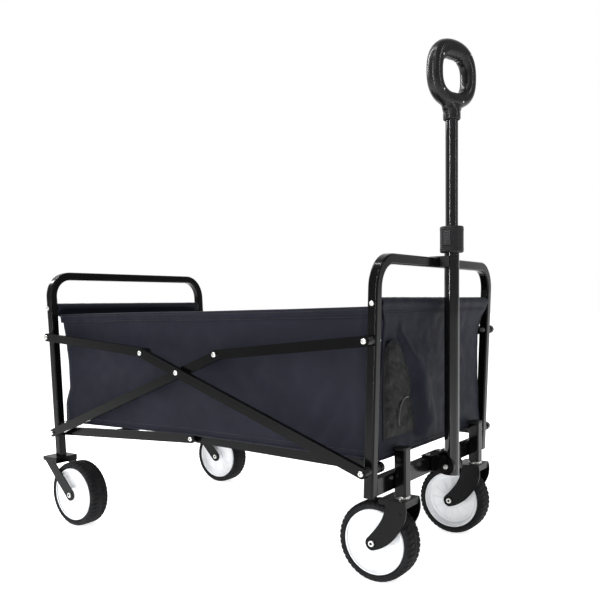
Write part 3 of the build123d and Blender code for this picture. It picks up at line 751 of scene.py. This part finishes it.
# ---- wheels -----------------------------------------------------------------------------
def tyre(label, x, y):
    lugs = 44
    profile = []
    shape = (
        (0.0578, -0.0190), (0.0600, -0.0215), (0.0635, -0.0226), (0.0665, -0.0224),
        (0.0690, -0.0208), (0.0706, -0.0180), (0.0712, -0.0140), (0.0714, -0.0100),
        (0.0715, -0.0050), (0.0715, 0.0), (0.0715, 0.0050), (0.0714, 0.0100), (0.0712, 0.0140),
        (0.0706, 0.0180), (0.0690, 0.0208), (0.0665, 0.0224), (0.0635, 0.0226),
        (0.0600, 0.0215), (0.0578, 0.0190), (0.0570, 0.0), (0.0578, -0.0190),
    )
    for (r0, y0), (r1, y1) in zip(shape, shape[1:]):
        for k in range(2):
            t = k / 2
            profile.append((r0 + (r1 - r0) * t, y0 + (y1 - y0) * t))
    profile.append(shape[0])

    def tread(angle, r, across):
        if r < 0.0672:
            return r, across
        phase = lugs * angle / (2 * math.pi) + (0.5 if across > 0 else 0.0)
        bar = phase + abs(across) * 26.0
        groove = 1.0 if bar % 1.0 < 0.30 else 0.0
        shoulder = min(1.0, max(0.0, (abs(across) - 0.006) / 0.003))
        rib = 1.0 if 0.0042 < abs(across) < 0.0062 else 0.0
        return r - 0.0016 * groove * shoulder - 0.0013 * rib, across

    ring = lathe(f"tread_{label}", profile, (x, y, WHEEL_R), "tyre_rubber", lugs * 10, tread)
    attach(ring, f"wheel_{label}")
    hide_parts(f"tyre_{label}")


def torus(name, centre, ring_r, bead, material, sides=72, squeeze=1.0):
    profile = []
    for k in range(13):
        angle = 2 * math.pi * k / 12
        profile.append((ring_r + bead * math.cos(angle), squeeze * bead * math.sin(angle)))
    return lathe(name, profile, centre, material, sides)


def wheel_detail(label, x, y):
    """Beads, shallow ribs and a hub ring on both faces of the disc."""
    pieces = []
    for way in (-1, 1):
        pieces.append(torus(f"lip_{label}_{way}", (x, y + way * 0.0212, WHEEL_R), 0.0562, 0.0012,
                            "white_plastic", squeeze=0.8))
        pieces.append(torus(f"bead_{label}_{way}", (x, y + way * 0.0125, WHEEL_R), 0.0440, 0.0009,
                            "white_plastic", squeeze=0.9))
        pieces.append(torus(f"hub_{label}_{way}", (x, y + way * 0.0125, WHEEL_R), 0.0200, 0.0011,
                            "white_plastic", squeeze=0.9))
    for way in (-1, 1):
        for k in range(12):
            angle = 2 * math.pi * k / 12
            direction = Vector((math.cos(angle), 0, math.sin(angle)))
            start = Vector((x, y + way * 0.0122, WHEEL_R))
            line = [start + direction * (0.0205 + 0.023 * i / 6) for i in range(7)]
            pieces.append(tube_along(f"rib_{label}_{way}_{k}", line, 0.0009, "white_plastic", 8))
    detail = merge(f"disc_detail_{label}", pieces)
    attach(detail, f"wheel_{label}")


def disc_y(name, x, y, z, r, way, material, depth=0.0006, sides=32):
    profile = [(0.00002, way * depth), (r * 0.75, way * depth), (r, way * depth * 0.4), (r, 0.0)]
    return lathe(name, profile, (x, y, z), material, sides)


def axle_detail(label, x, y):
    body = "rear_frame" if label.startswith("rear") else "caster_" + label.split("_")[1]
    sockets = []
    # Near-black discs on the axle bolt faces: painted shade where the hex sockets are recessed.
    for way in (-1, 1):
        face = y + way * 0.0318
        sockets.append(disc_y(f"socket_{label}_{way}", x, face, WHEEL_R, 0.0027, way,
                              "socket_shade"))
    dark = merge(f"axle_sockets_{label}", sockets)
    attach(dark, body)
    washers = []
    for way in (-1, 1):
        washers.append(torus(f"washer_{label}_{way}", (x, y + way * 0.0284, WHEEL_R), 0.0070,
                             0.0006, "pressed_steel", 36))
    rings = merge(f"axle_washers_{label}", washers)
    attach(rings, body)


# ---- handle -----------------------------------------------------------------------------
def grip_shape():
    """Ring grip with finger ridges under its top bar, and a flared neck."""
    turn = math.radians(16.0)
    across = Vector((math.sin(turn), math.cos(turn), 0))
    normal = Vector((math.cos(turn), -math.sin(turn), 0))
    centre = Vector((HANDLE_X, 0, 0.897))
    half_w = 0.0465
    half_h = 0.0450

    def ring(u, v):
        a = 2 * math.pi * u
        c, s = math.cos(a), math.sin(a)
        n = 2.5
        k = (abs(c) ** n + abs(s) ** n) ** (-1 / n)
        path = across * (half_w * k * c) + Vector((0, 0, half_h * k * s))
        out = (across * c + Vector((0, 0, s))).normalized()
        b = 2 * math.pi * v
        web = 0.0136 + 0.0030 * max(s, 0.0) ** 2
        thick = 0.0143
        cb, sb = math.cos(b), math.sin(b)
        m = 2.3
        q = (abs(cb) ** m + abs(sb) ** m) ** (-1 / m)
        ridge = 0.0
        if s > 0.55 and cb < -0.2:
            ridge = 0.0013 * (0.5 + 0.5 * math.cos(half_w * k * c * 520)) * (-cb)
        return centre + path + out * ((web * q + ridge) * cb) + normal * (thick * q * sb)

    loop = grid("grip_ring", 220, 48, ring, "grip_plastic")

    def neck(u, v):
        z = 0.8165 + 0.030 * v
        a = 2 * math.pi * u
        flare = through(((0.0, 0.0150), (0.40, 0.0154), (0.7, 0.0215), (1.0, 0.0340)), v)
        thin = through(((0.0, 0.0150), (0.4, 0.0150), (1.0, 0.0125)), v)
        if v < 0.03:
            flare -= 0.0012
            thin -= 0.0012
        return (Vector((HANDLE_X, 0, z)) + across * (flare * math.cos(a))
                + normal * (thin * math.sin(a)))

    stem = grid("grip_neck", 64, 30, neck, "grip_plastic")
    ribs = []
    for k in range(10):
        a = 2 * math.pi * (k + 0.5) / 10
        spot = Vector((HANDLE_X + 0.0151 * math.cos(a), 0.0151 * math.sin(a), 0))
        ribs.append(tube_along(f"neck_rib_{k}", [spot + Vector((0, 0, 0.8175 + 0.002 * i))
                                                for i in range(7)], 0.0007, "grip_plastic", 8))
    rib = merge("grip_neck_ribs", ribs)
    seam_points = []
    for i in range(181):
        p = ring(i / 180, 0.0)
        seam_points.append(p)
    seam = tube_along("grip_seam", seam_points, 0.0004, "grip_plastic", 6)
    screws = []
    holes = []
    for index, (a, b) in enumerate(((0.13, 0.19), (0.40, 0.28), (0.98, 0.06), (0.80, 0.20),
                                    (0.62, 0.24))):
        p = ring(a, b)
        lift = (ring(a + 0.002, b) - ring(a - 0.002, b)).cross(ring(a, b + 0.01) - ring(a, b - 0.01))
        lift.normalize()
        if lift.dot(normal) < 0:
            lift = -lift
        line = [p - lift * 0.002, p + lift * 0.0003]
        screws.append(tube_along(f"screw_{index}", line, 0.0017, "zinc_hardware", 16))
        # A near-black ring round each screw: painted shade in its screw well.
        holes.append(tube_along(f"hole_{index}", [p - lift * 0.002, p + lift * 0.0001],
                                0.0027, "socket_shade", 20))
    screw = merge("grip_screws", screws)
    hole = merge("grip_screw_well_shade", holes)
    whole = merge("grip_body", [loop, stem, rib, seam])
    for piece, name in ((whole, "grip_plastic"), (screw, "zinc_hardware"),
                        (hole, "black_plastic")):
        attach(piece, "handle_inner")
    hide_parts("grip")


def collar_detail():
    """Beads at the collar's ends, a frame round the button, and ribs on the button."""
    pieces = []
    for z, r in ((0.5795, 0.0212), (0.6225, 0.0212), (0.5835, 0.0216), (0.6190, 0.0216)):
        line = []
        for i in range(61):
            a = 2 * math.pi * i / 60
            line.append(Vector((HANDLE_X + r * math.cos(a), r * math.sin(a), z)))
        pieces.append(tube_along(f"collar_bead_{z}", line, 0.0006, "black_plastic", 8))
    frame_line = []
    for i in range(41):
        a = 2 * math.pi * i / 40
        x = 0.0092 * max(-1, min(1, 1.4 * math.cos(a)))
        z = 0.0160 * max(-1, min(1, 1.4 * math.sin(a)))
        depth = -math.sqrt(max(0.0215 ** 2 - x * x, 0)) - 0.0002
        frame_line.append(Vector((HANDLE_X + x, depth, 0.603 + z)))
    pieces.append(tube_along("collar_frame", frame_line, 0.0008, "black_plastic", 8))
    detail = merge("collar_detail", pieces)
    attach(detail, "handle")
    grooves = []
    for k in range(5):
        z = 0.593 + 0.005 * k
        line = [Vector((HANDLE_X - 0.0045 + 0.0018 * i, -0.0226, z)) for i in range(6)]
        grooves.append(tube_along(f"button_rib_{k}", line, 0.0006, "button_plastic", 8))
    ribs = merge("button_ribs", grooves)
    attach(ribs, "lock_button")


def build_soft_goods():
    left = side_wall("left", -1)
    right = side_wall("right", 1)
    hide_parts("basket_left_side")
    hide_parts("basket_right_side")
    end_sheet(-1)
    _, front_place = end_sheet(1)
    cup_pocket(front_place)
    cloth = floor_sheet("rear")
    floor_sheet("front")
    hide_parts("basket_floor")
    pull_strap()


build_soft_goods()
for label, (wheel_x, wheel_y) in WHEELS.items():
    tyre(label, wheel_x, wheel_y)
    wheel_detail(label, wheel_x, wheel_y)
    axle_detail(label, wheel_x, wheel_y)
grip_shape()
collar_detail()


# ---- studio -----------------------------------------------------------------------------
BACK = (-0.579, 0.815, 0.0)   # towards the bright side of the studio, behind the wagon
DIM = 0.30                    # light from the other side, which the paint mirrors
PALE = 0.72                   # what a view from behind sees there


def studio():
    """White floor that runs into a white background, and strip lights for the highlights."""
    bpy.context.scene.view_settings.view_transform = "Standard"
    bpy.ops.mesh.primitive_plane_add(size=60.0, location=(0, 0, 0))
    floor = bpy.context.object
    floor.name = "studio_floor"
    s = Shader("studio_floor", Roughness=0.85)
    s.bsdf.inputs["Base Color"].default_value = (0.93, 0.93, 0.93, 1.0)
    s.bsdf.inputs["Emission Color"].default_value = (1.0, 1.0, 1.0, 1.0)
    across = s.add("ShaderNodeVectorMath", operation="DOT_PRODUCT")
    across.inputs[1].default_value = BACK
    s.link(s.coords, across.inputs[0])
    glow = s.add("ShaderNodeMapRange")
    glow.inputs["From Min"].default_value = -0.95
    glow.inputs["From Max"].default_value = -0.62
    glow.inputs["To Min"].default_value = 0.30
    glow.inputs["To Max"].default_value = 0.80
    s.link(across.outputs["Value"], glow.inputs["Value"])
    s.link(glow.outputs["Result"], s.bsdf.inputs["Emission Strength"])
    floor.data.materials.append(s.material)
    world = bpy.data.worlds.new("studio")
    bpy.context.scene.world = world
    world.use_nodes = True
    tree = world.node_tree
    background = tree.nodes["Background"]
    coords = tree.nodes.new("ShaderNodeTexCoord")
    facing = tree.nodes.new("ShaderNodeVectorMath")
    facing.operation = "DOT_PRODUCT"
    facing.inputs[1].default_value = BACK
    tree.links.new(coords.outputs["Generated"], facing.inputs[0])
    shade = tree.nodes.new("ShaderNodeMapRange")
    shade.inputs["From Min"].default_value = 0.30
    shade.inputs["From Max"].default_value = 0.62
    rays = tree.nodes.new("ShaderNodeLightPath")
    low = tree.nodes.new("ShaderNodeMath")
    low.operation = "MULTIPLY_ADD"
    low.inputs[1].default_value = PALE - DIM
    low.inputs[2].default_value = DIM
    tree.links.new(rays.outputs["Is Camera Ray"], low.inputs[0])
    tree.links.new(low.outputs["Value"], shade.inputs["To Min"])
    shade.inputs["To Max"].default_value = 1.0
    tree.links.new(facing.outputs["Value"], shade.inputs["Value"])
    tree.links.new(shade.outputs["Result"], background.inputs["Strength"])
    background.inputs["Color"].default_value = (1.0, 1.0, 1.0, 1.0)
    for name, place, aim, size, power in (
        ("key", (1.6, -2.6, 2.4), (0.0, 0.0, 0.3), (0.5, 1.6), 9.0),
        ("tube_line", (0.03, -1.96, 0.9), (0.43, 0.0, 0.6), (0.04, 1.9), 22.0),
        ("side_wash", (0.2, -1.9, 2.9), (0.0, -0.2, 0.35), (1.6, 0.4), 14.0),
        ("front", (2.6, 0.5, 1.6), (0.3, 0.0, 0.4), (0.10, 1.8), 9.0),
        ("edges", (-1.56, -0.36, 2.05), (0.0, -0.25, 0.40), (0.14, 1.8), 46.0),
        ("top", (-0.2, -0.5, 2.6), (0.0, 0.0, 0.3), (1.8, 0.10), 14.0),
    ):
        light = bpy.data.lights.new(name, "AREA")
        light.shape = "RECTANGLE"
        light.size, light.size_y = size
        light.energy = power
        lamp = bpy.data.objects.new(name, light)
        lamp.location = place
        lamp.rotation_euler = (Vector(aim) - Vector(place)).to_track_quat("-Z", "Y").to_euler()
        bpy.context.collection.objects.link(lamp)


def camera():
    yaw = math.radians(35.37)
    pitch = math.radians(4.11)
    roll = math.radians(-0.86)
    place = Vector((0.97692, -1.2593, 0.4848))
    ahead = Vector((-math.sin(yaw) * math.cos(pitch), math.cos(yaw) * math.cos(pitch),
                    -math.sin(pitch)))
    right = Vector((math.cos(yaw), math.sin(yaw), 0.0))
    up = right.cross(ahead)
    turned = right * math.cos(roll) + up * math.sin(roll)
    up = up * math.cos(roll) - right * math.sin(roll)
    data = bpy.data.cameras.new("camera")
    data.lens = 43.43
    data.sensor_width = 36.0
    data.shift_x = -0.0017
    data.shift_y = 0.0953
    eye = bpy.data.objects.new("camera", data)
    axes = Matrix((turned, up, -ahead)).transposed().to_4x4()
    eye.matrix_world = Matrix.Translation(place) @ axes
    bpy.context.collection.objects.link(eye)
    bpy.context.scene.camera = eye


studio()
camera()
